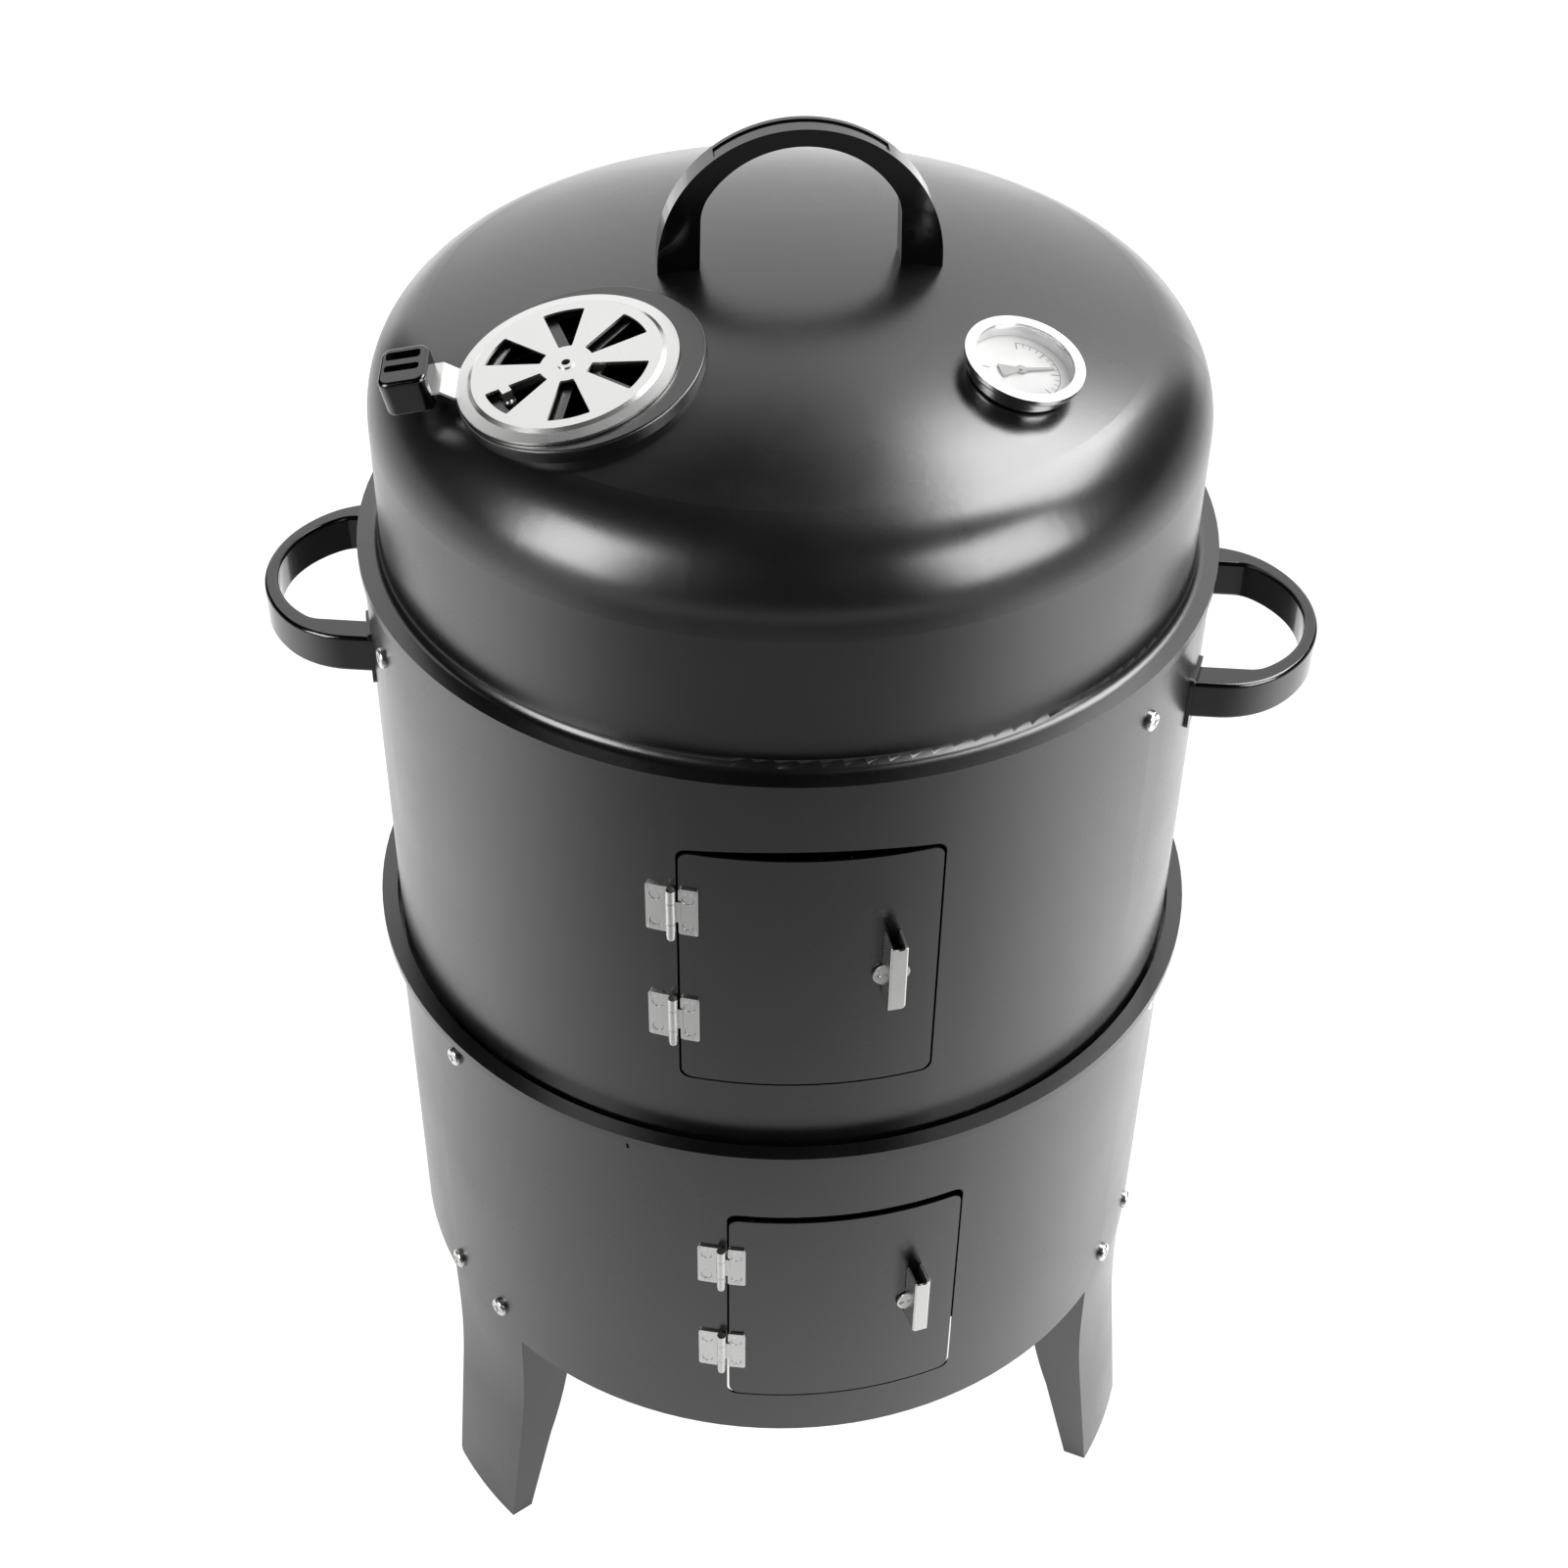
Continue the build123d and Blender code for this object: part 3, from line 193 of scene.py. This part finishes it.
def rolled_group():
    """Rolled or plated metal: stretched grain as height and a soft cloud as a mask."""
    group = new_group("Rolled metal", [("Scale", 90.0), ("Stretch", 8.0)], ["Grain", "Cloud"])
    start = add_node(group, "NodeGroupInput", (-5, 0))
    end = add_node(group, "NodeGroupOutput", (3, 0))
    where = add_node(group, "ShaderNodeTexCoord", (-5, 1))
    links = group.links
    squeeze = add_node(group, "ShaderNodeCombineXYZ", (-4, 0), X=1.0, Y=1.0)
    links.new(start.outputs["Stretch"], squeeze.inputs["Z"])
    placed = add_node(group, "ShaderNodeMapping", (-3, 1))
    links.new(where.outputs["Object"], placed.inputs["Vector"])
    links.new(squeeze.outputs["Vector"], placed.inputs["Scale"])
    grain = add_node(group, "ShaderNodeTexNoise", (-1, 1), Detail=3.0, Roughness=0.6)
    links.new(placed.outputs["Vector"], grain.inputs["Vector"])
    links.new(start.outputs["Scale"], grain.inputs["Scale"])
    cloud = add_node(group, "ShaderNodeTexNoise", (-1, -1), Scale=45.0, Detail=4.0, Roughness=0.6)
    links.new(where.outputs["Object"], cloud.inputs["Vector"])
    links.new(grain.outputs["Fac"], end.inputs["Grain"])
    links.new(cloud.outputs["Fac"], end.inputs["Cloud"])
    return group


def surface(name):
    """New material, its tree and its shader."""
    made = bpy.data.materials.new(name)
    made.use_nodes = True
    return made, made.node_tree, made.node_tree.nodes["Principled BSDF"]


def mapped(tree, source, low, high, place):
    """Spread a 0 to 1 value between two others."""
    node = add_node(tree, "ShaderNodeMapRange", place)
    node.inputs["To Min"].default_value = low
    node.inputs["To Max"].default_value = high
    tree.links.new(source, node.inputs["Value"])
    return node.outputs["Result"]


def tinted(tree, mask, low, high, place):
    """Mix two colours by a mask."""
    node = add_node(tree, "ShaderNodeMix", place, data_type="RGBA")
    ends = [socket for socket in node.inputs if socket.type == "RGBA"]
    for socket, colour in zip(ends, (low, high)):
        socket.default_value = (*colour, 1)
    tree.links.new(mask, node.inputs["Factor"])
    return next(socket for socket in node.outputs if socket.type == "RGBA")


def bumped(tree, height, strength, distance, shader):
    """Feed a height to the shader's normal."""
    node = add_node(tree, "ShaderNodeBump", (-2, -1), Strength=strength, Distance=distance)
    tree.links.new(height, node.inputs["Height"])
    tree.links.new(node.outputs["Normal"], shader.inputs["Normal"])


def coated(name, group, scales, mask, colours, gloss):
    """Material whose colour and roughness follow one mask of a shader group."""
    made, tree, shader = surface(name)
    skin = add_node(tree, "ShaderNodeGroup", (-4, 0))
    skin.node_tree = group
    for socket, scale in scales.items():
        skin.inputs[socket].default_value = scale
    if colours:
        tree.links.new(tinted(tree, skin.outputs[mask], *colours, (-2, 1)), shader.inputs["Base Color"])
    tree.links.new(mapped(tree, skin.outputs[mask], *gloss, (-2, 0)), shader.inputs["Roughness"])
    return made, tree, shader, skin


def painted_enamel(name, group, colour, roughness, peel):
    """Baked black paint over sheet steel."""
    dusty = [channel * 1.6 + 0.0002 for channel in colour]
    made, tree, shader, skin = coated(
        name, group, {"Scale": 1.0 / peel, "Patch scale": 9.0}, "Patches",
        (colour, dusty), (roughness - 0.035, roughness + 0.05))
    shader.inputs["Specular IOR Level"].default_value = 1.0
    bumped(tree, skin.outputs["Height"], 0.12, 0.0002, shader)
    return made


def plated_metal(name, group, colour, roughness):
    """Bright plate with a faint clouding."""
    dull = [channel * 0.86 for channel in colour]
    made, tree, shader, skin = coated(
        name, group, {"Scale": 160.0, "Stretch": 5.0}, "Cloud",
        (dull, colour), (roughness - 0.07, roughness + 0.09))
    shader.inputs["Metallic"].default_value = 1.0
    bumped(tree, skin.outputs["Grain"], 0.06, 0.0001, shader)
    return made


def moulded_plastic(name, group, colour):
    """Glossy black thermoset with faint flow marks."""
    worn = [channel * 1.6 + 0.0002 for channel in colour]
    made, tree, shader, skin = coated(
        name, group, {"Scale": 120.0, "Patch scale": 30.0}, "Patches", (colour, worn), (0.1, 0.17))
    shader.inputs["Specular IOR Level"].default_value = 0.8
    bumped(tree, skin.outputs["Height"], 0.05, 0.0002, shader)
    return made


def dial_print(name, group):
    """White printed metal dial."""
    made, tree, shader, skin = coated(
        name, group, {"Scale": 600.0, "Patch scale": 60.0}, "Patches",
        ((0.76, 0.76, 0.75), (0.85, 0.85, 0.84)), (0.28, 0.4))
    bumped(tree, skin.outputs["Height"], 0.05, 0.00005, shader)
    return made


def ink(name, group, grey):
    """Printed scale marks or painted needle."""
    made, *_ = coated(
        name, group, {"Scale": 500.0, "Patch scale": 80.0}, "Patches",
        ([grey] * 3, [grey * 1.3] * 3), (0.35, 0.5))
    return made


def clear_glass(name, group):
    """Thin flat window."""
    made, _, shader, _ = coated(
        name, group, {"Scale": 40.0, "Patch scale": 25.0}, "Patches", None, (0.02, 0.05))
    shader.inputs["Base Color"].default_value = (1.0, 1.0, 1.0, 1.0)
    shader.inputs["Transmission Weight"].default_value = 1.0
    shader.inputs["IOR"].default_value = 1.45
    return made


def make_finishes(paint):
    """All finishes of the smoker, keyed by the record's slots, and the scale's ink."""
    sprayed = sprayed_group()
    rolled = rolled_group()
    enamel = painted_enamel("Baked enamel", sprayed, tuple(paint.enamel), paint.enamel_roughness, paint.peel)
    return {
        "black_enamel": enamel,
        "zinc_plate": plated_metal("Zinc plate", rolled, tuple(paint.zinc), 0.27),
        "bezel_steel": plated_metal("Bezel steel", rolled, (0.86, 0.86, 0.86), 0.2),
        "chrome_wire": plated_metal("Chrome wire", rolled, (0.7, 0.7, 0.71), 0.14),
        "black_plastic": moulded_plastic("Handle plastic", sprayed, tuple(paint.plastic)),
        "dial_face": dial_print("Dial face", sprayed),
        "needle_paint": ink("Needle paint", sprayed, 0.33),
        "dial_ink": ink("Dial ink", sprayed, 0.12),
        "window_glass": clear_glass("Window glass", sprayed),
    }


# ---------------------------------------------------------------- mesh helpers


def linked_object(name, work):
    """Object of a finished bmesh, which is freed, linked to the scene."""
    mesh = bpy.data.meshes.new(name)
    work.to_mesh(mesh)
    work.free()
    piece = bpy.data.objects.new(name, mesh)
    bpy.context.scene.collection.objects.link(piece)
    return piece


def eased_copy(node, width):
    """Merged copy of a CAD node with its sharp edges eased to a small radius."""
    work = bmesh.new()
    work.from_mesh(frame["nodes"][node].data)
    bmesh.ops.remove_doubles(work, verts=work.verts, dist=WELD)
    sharp = [edge for edge in work.edges if len(edge.link_faces) == 2 and edge.calc_face_angle(0.0) > CREASE]
    bmesh.ops.bevel(
        work, geom=sharp, offset=width, offset_type="OFFSET", segments=2, profile=0.5, affect="EDGES",
        material=-1, clamp_overlap=True)
    for face in work.faces:
        face.smooth = True
    for edge in work.edges:
        edge.smooth = len(edge.link_faces) == 2 and edge.calc_face_angle(0.0) < CREASE
    piece = linked_object(node + "_eased", work)
    piece.modifiers.new("Flat faces", "WEIGHTED_NORMAL").keep_sharp = True
    return piece


def dial_place():
    """Place of the scale on the dial: x downhill, z out of the dial."""
    hinge = next(joint for joint in frame["joints"] if joint["child"] == "needle")
    normal = -Vector(hinge["axis"])
    top = max(vertex.co.dot(normal) for vertex in frame["nodes"]["thermometer_dial"].data.vertices)
    centre = Vector(hinge["pos_m"])
    centre += normal * (top - centre.dot(normal) + PRINT_LIFT)
    downhill = (Vector((0, 0, -1)) - normal * -normal.z).normalized()
    place = Matrix.Identity(4)
    for column, axis in enumerate((downhill, normal.cross(downhill), normal)):
        place.col[column][:3] = axis
    place.translation = centre
    return place


def scale_arc(work, reach, start, sweep):
    """Thin arc swept by a short line."""
    line = [work.verts.new((reach + side, 0, 0)) for side in (0.0, ARC_WIDTH)]
    strip = [*line, work.edges.new(line)]
    bmesh.ops.rotate(work, verts=line, matrix=Matrix.Rotation(start, 3, "Z"))
    bmesh.ops.spin(work, geom=strip, axis=(0, 0, 1), angle=sweep, steps=ARC_STEPS)


def scale_marks(work, reach, start, dial):
    """Marks inside the arc, every fourth one longer."""
    for number in range(dial.marks):
        long_mark = number % LONG_MARK_EVERY == 0
        length = dial.mark_length * (LONG_MARK_STRETCH if long_mark else 1.0)
        width = LONG_MARK_WIDTH if long_mark else SHORT_MARK_WIDTH
        made = bmesh.ops.create_grid(work, x_segments=1, y_segments=1, size=0.5)
        turn = Matrix.Rotation(start + dial.sweep * number / (dial.marks - 1), 4, "Z")
        shift = Matrix.Translation((reach - length / 2, 0, 0))
        form = Matrix.Diagonal((length, width, 1, 1))
        bmesh.ops.transform(work, matrix=turn @ shift @ form, verts=made["verts"])


def dress(piece, slot_name, finishes):
    """Give a piece the finish of its slot."""
    piece.data.materials.clear()
    piece.data.materials.append(finishes[slot_name])


def finishes_by_slot():
    """The finishes made by the first operator."""
    return {slot: bpy.data.materials[name] for slot, name in bpy.context.scene["smoker_finishes"].items()}


def slot_of(node):
    """The record's slot of a CAD node."""
    return next(row["material_slot"] for row in frame["record"]["subparts"] if row["node"] == node)


def body_of(node):
    """The record's body of a CAD node."""
    bodies = frame["record"]["behaviour"]["bodies"]
    return next(body for body, nodes in bodies.items() if node in nodes)


# ---------------------------------------------------------------- operators


class SMOKER_OT_finishes(bpy.types.Operator):
    """Make every finish and dress the CAD nodes in it"""

    bl_idname = "smoker.finishes"
    bl_label = "Finishes"

    def execute(self, context):
        finishes = make_finishes(context.scene.smoker_paint)
        context.scene["smoker_finishes"] = {slot: made.name for slot, made in finishes.items()}
        for node, piece in frame["nodes"].items():
            piece.data.materials.clear()
            piece.data.materials.append(finishes[slot_of(node)])
        return {"FINISHED"}


class EasedPieces:
    """Shared work of the operators that ease the edges of CAD nodes."""

    nodes = ()
    width = 0.0005

    def execute(self, context):
        finishes = finishes_by_slot()
        for node in self.nodes:
            piece = eased_copy(node, self.width)
            dress(piece, slot_of(node), finishes)
            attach(piece, body_of(node))
            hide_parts(node)
        return {"FINISHED"}


class SMOKER_OT_handles(EasedPieces, bpy.types.Operator):
    """Ease the moulded edges of the lid handle and the side handles"""

    bl_idname = "smoker.handles"
    bl_label = "Moulded handles"
    nodes = ("lid_handle", "left_handle", "right_handle")
    width = 0.0012


class SMOKER_OT_hardware(EasedPieces, bpy.types.Operator):
    """Ease the pressed edges of the hinges and latches"""

    bl_idname = "smoker.hardware"
    bl_label = "Hinges and latches"
    nodes = tuple(
        f"{door}_{part}" for door in ("fire", "cook")
        for part in ("hinge_wall_leaves", "hinge_door_leaves", "latch_lever"))
    width = 0.0003


class SMOKER_OT_sheet(EasedPieces, bpy.types.Operator):
    """Ease the cut edges of the doors and legs"""

    bl_idname = "smoker.sheet"
    bl_label = "Doors and legs"
    nodes = ("fire_door", "cook_door", "leg_front_left", "leg_right", "leg_rear")
    width = 0.0003


class SMOKER_OT_dial(bpy.types.Operator):
    """Print the thermometer's scale: an arc and short marks round the dial"""

    bl_idname = "smoker.dial"
    bl_label = "Dial scale"

    def execute(self, context):
        dial = context.scene.smoker_dial
        low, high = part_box("thermometer_dial")
        reach = (high - low).length * SCALE_SHARE
        start = -dial.sweep / 2
        work = bmesh.new()
        scale_arc(work, reach, start, dial.sweep)
        scale_marks(work, reach, start, dial)
        bmesh.ops.recalc_face_normals(work, faces=work.faces)
        flip = [face for face in work.faces if face.normal.z < 0]
        bmesh.ops.reverse_faces(work, faces=flip)
        bmesh.ops.transform(work, matrix=dial_place(), verts=work.verts)
        scale = linked_object("dial_scale", work)
        scale.data.materials.append(finishes_by_slot()["dial_ink"])
        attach(scale, "lid")
        return {"FINISHED"}


# ---------------------------------------------------------------- studio


def look_matrix(stage):
    """Camera's place from its turn, pitch and roll."""
    across, back = math.sin(stage.turn) * stage.distance, math.cos(stage.turn) * stage.distance
    place = Vector((across, -back, stage.height))
    level = Matrix.Rotation(stage.turn, 4, "Z")
    tilt = Matrix.Rotation(math.pi / 2 - stage.pitch, 4, "X")
    roll = Matrix.Rotation(stage.roll, 4, "Z")
    return Matrix.Translation(place) @ level @ tilt @ roll


def soft_box(name, turn, rise, reach, size, radiance):
    """Rectangular area light facing the lid."""
    turn, rise = math.radians(turn), math.radians(rise)
    way = Vector((math.sin(turn) * math.cos(rise), -math.cos(turn) * math.cos(rise), math.sin(rise)))
    light = bpy.data.lights.new(name, "AREA")
    light.shape = "RECTANGLE"
    light.size, light.size_y = size
    light.energy = radiance * math.pi * light.size * light.size_y
    lamp = bpy.data.objects.new(name, light)
    facing = (-way).to_track_quat("-Z", "Y").to_matrix().to_4x4()
    lamp.matrix_world = Matrix.Translation(LIGHTS_AIM + way * reach) @ facing
    lamp.visible_camera = False
    bpy.context.scene.collection.objects.link(lamp)


def whitened(tree, lit, white, share, output):
    """Show the camera a share of plain white in place of the lit shader."""
    path = add_node(tree, "ShaderNodeLightPath", (1, 1))
    part = add_node(tree, "ShaderNodeMath", (1, 0), operation="MULTIPLY")
    part.inputs[1].default_value = share
    mix = add_node(tree, "ShaderNodeMixShader", (2, 0))
    tree.links.new(path.outputs["Is Camera Ray"], part.inputs[0])
    tree.links.new(part.outputs[0], mix.inputs[0])
    tree.links.new(lit, mix.inputs[1])
    tree.links.new(white, mix.inputs[2])
    tree.links.new(mix.outputs["Shader"], tree.nodes[output].inputs["Surface"])


def floor_finish():
    """Pale floor, white to the camera, with a painted shade in front (a darker colour and no glow) so the
    reflections there are dark.
    """
    made, tree, shader = surface("Studio floor")
    where = add_node(tree, "ShaderNodeTexCoord", (-5, 0))
    offset = add_node(tree, "ShaderNodeVectorMath", (-4, 0), operation="DISTANCE")
    offset.inputs[1].default_value = PAINTED_SHADE_SPOT
    tree.links.new(where.outputs["Object"], offset.inputs[0])
    fade = add_node(tree, "ShaderNodeMapRange", (-3, 0), interpolation_type="SMOOTHSTEP")
    fade.inputs["From Min"].default_value = SHADE_START
    fade.inputs["From Max"].default_value = SHADE_END
    tree.links.new(offset.outputs["Value"], fade.inputs["Value"])
    # painted shade: the floor's colour is darker round the shaded spot in front and pale outside it
    base = tinted(tree, fade.outputs["Result"], [PAINTED_SHADE_GREY] * 3, [PALE_GREY] * 3, (-1, 1))
    tree.links.new(base, shader.inputs["Base Color"])
    shader.inputs["Roughness"].default_value = 0.9
    shader.inputs["Specular IOR Level"].default_value = 0.0
    shader.inputs["Emission Color"].default_value = (1, 1, 1, 1)
    # outside the painted shade the floor also glows a little
    lift = mapped(tree, fade.outputs["Result"], 0.0, PALE_LIFT, (-1, -1))
    tree.links.new(lift, shader.inputs["Emission Strength"])
    glow = add_node(tree, "ShaderNodeEmission", (0, -2), Strength=FLOOR_GLOW)
    whitened(tree, shader.outputs["BSDF"], glow.outputs["Emission"], FLOOR_WHITE_SHARE, "Material Output")
    return made


def lay_floor():
    """Wide flat floor."""
    work = bmesh.new()
    bmesh.ops.create_grid(work, x_segments=1, y_segments=1, size=FLOOR_SIZE)
    floor = linked_object("studio_floor", work)
    floor.data.materials.append(floor_finish())


def surround():
    """Dark room that the camera sees as white."""
    world = bpy.data.worlds.new("Studio")
    world.use_nodes = True
    tree = world.node_tree
    dark = tree.nodes["Background"]
    dark.inputs["Color"].default_value = (WORLD_GREY, WORLD_GREY, WORLD_GREY, 1)
    white = add_node(tree, "ShaderNodeBackground", (0, -2), Strength=1.0)
    white.inputs["Color"].default_value = (1, 1, 1, 1)
    whitened(tree, dark.outputs["Background"], white.outputs["Background"], 1.0, "World Output")
    return world


def place_camera(scene, stage):
    """Camera at its angle, with a 36 mm frame."""
    data = bpy.data.cameras.new("Camera")
    data.lens = stage.lens
    data.sensor_width = 36.0
    data.clip_end = 50.0
    camera = bpy.data.objects.new("Camera", data)
    camera.matrix_world = look_matrix(stage)
    scene.collection.objects.link(camera)
    scene.camera = camera


class SMOKER_OT_stage(bpy.types.Operator):
    """Lay the floor and set the studio lights and the camera"""

    bl_idname = "smoker.stage"
    bl_label = "Studio"

    def execute(self, context):
        lay_floor()
        context.scene.world = surround()
        context.scene.view_settings.view_transform = "Standard"
        for row in SOFT_BOXES:
            soft_box(*row)
        place_camera(context.scene, context.scene.smoker_stage)
        return {"FINISHED"}


# ---------------------------------------------------------------- panel and main


class SMOKER_PT_panel(bpy.types.Panel):
    """Smoker pieces and studio"""

    bl_idname = "SMOKER_PT_panel"
    bl_label = "Smoker"
    bl_space_type = "VIEW_3D"
    bl_region_type = "UI"
    bl_category = "Smoker"

    def draw(self, context):
        for operator in OPERATORS:
            self.layout.operator(operator.bl_idname)
        for settings in (context.scene.smoker_paint, context.scene.smoker_dial, context.scene.smoker_stage):
            box = self.layout.box()
            for key in settings.__annotations__:
                box.prop(settings, key)


SETTINGS = (SmokerPaintSettings, SmokerDialSettings, SmokerStageSettings)
OPERATORS = (
    SMOKER_OT_finishes,
    SMOKER_OT_handles,
    SMOKER_OT_hardware,
    SMOKER_OT_sheet,
    SMOKER_OT_dial,
    SMOKER_OT_stage,
)


def register():
    """Register the settings, operators and panel."""
    for kind in SETTINGS + OPERATORS + (SMOKER_PT_panel,):
        bpy.utils.register_class(kind)
    bpy.types.Scene.smoker_paint = PointerProperty(type=SmokerPaintSettings)
    bpy.types.Scene.smoker_dial = PointerProperty(type=SmokerDialSettings)
    bpy.types.Scene.smoker_stage = PointerProperty(type=SmokerStageSettings)


def unregister():
    """Take everything out again."""
    del bpy.types.Scene.smoker_stage
    del bpy.types.Scene.smoker_dial
    del bpy.types.Scene.smoker_paint
    for kind in reversed(SETTINGS + OPERATORS + (SMOKER_PT_panel,)):
        bpy.utils.unregister_class(kind)


def main():
    """Run every operator in order."""
    register()
    for operator in OPERATORS:
        family, name = operator.bl_idname.split(".")
        getattr(getattr(bpy.ops, family), name)()


if __name__ == "__main__":
    main()
